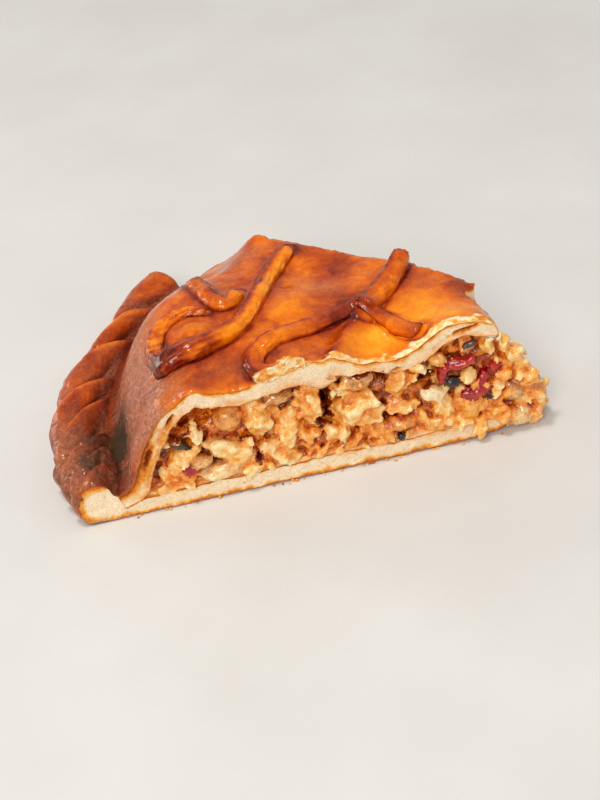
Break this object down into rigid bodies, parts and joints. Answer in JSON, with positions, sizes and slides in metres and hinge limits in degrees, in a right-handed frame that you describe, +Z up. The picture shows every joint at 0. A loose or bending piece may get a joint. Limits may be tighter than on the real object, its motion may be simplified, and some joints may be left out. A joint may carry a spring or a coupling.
{
  "type": "empanada slice",
  "caption": "Cut slice of a round chicken empanada: twisted rim, glazed domed lid with strands of dough, and chunky filling between two bread crusts.",
  "frame": {"origin": "on the flat underside of the bottom crust, below the middle of the slice", "axes": "+X along the front cut from the twisted rim to the blunt inner end, +Y away from the front cut, +Z up from the face it rests on"},
  "size_m": [0.1605, 0.1206, 0.0505],
  "materials": {
    "bottom_crust": "baked bread dough, browned outside, pale and porous where cut",
    "filling": "moist chopped chicken, onion and pepper in an orange oily sauce",
    "top_crust": "glazed golden orange bread dough, pale and porous where cut",
    "dough_strand": "glazed golden orange bread dough, darker at the tips"
  },
  "bodies": {
    "root": {"bottom_crust": "bottom_crust", "filling": "filling", "top_crust": "top_crust", "strand_long": "dough_strand", "strand_crescent": "dough_strand", "strand_hook": "dough_strand", "strand_fork": "dough_strand"}
  },
  "joints": []
}
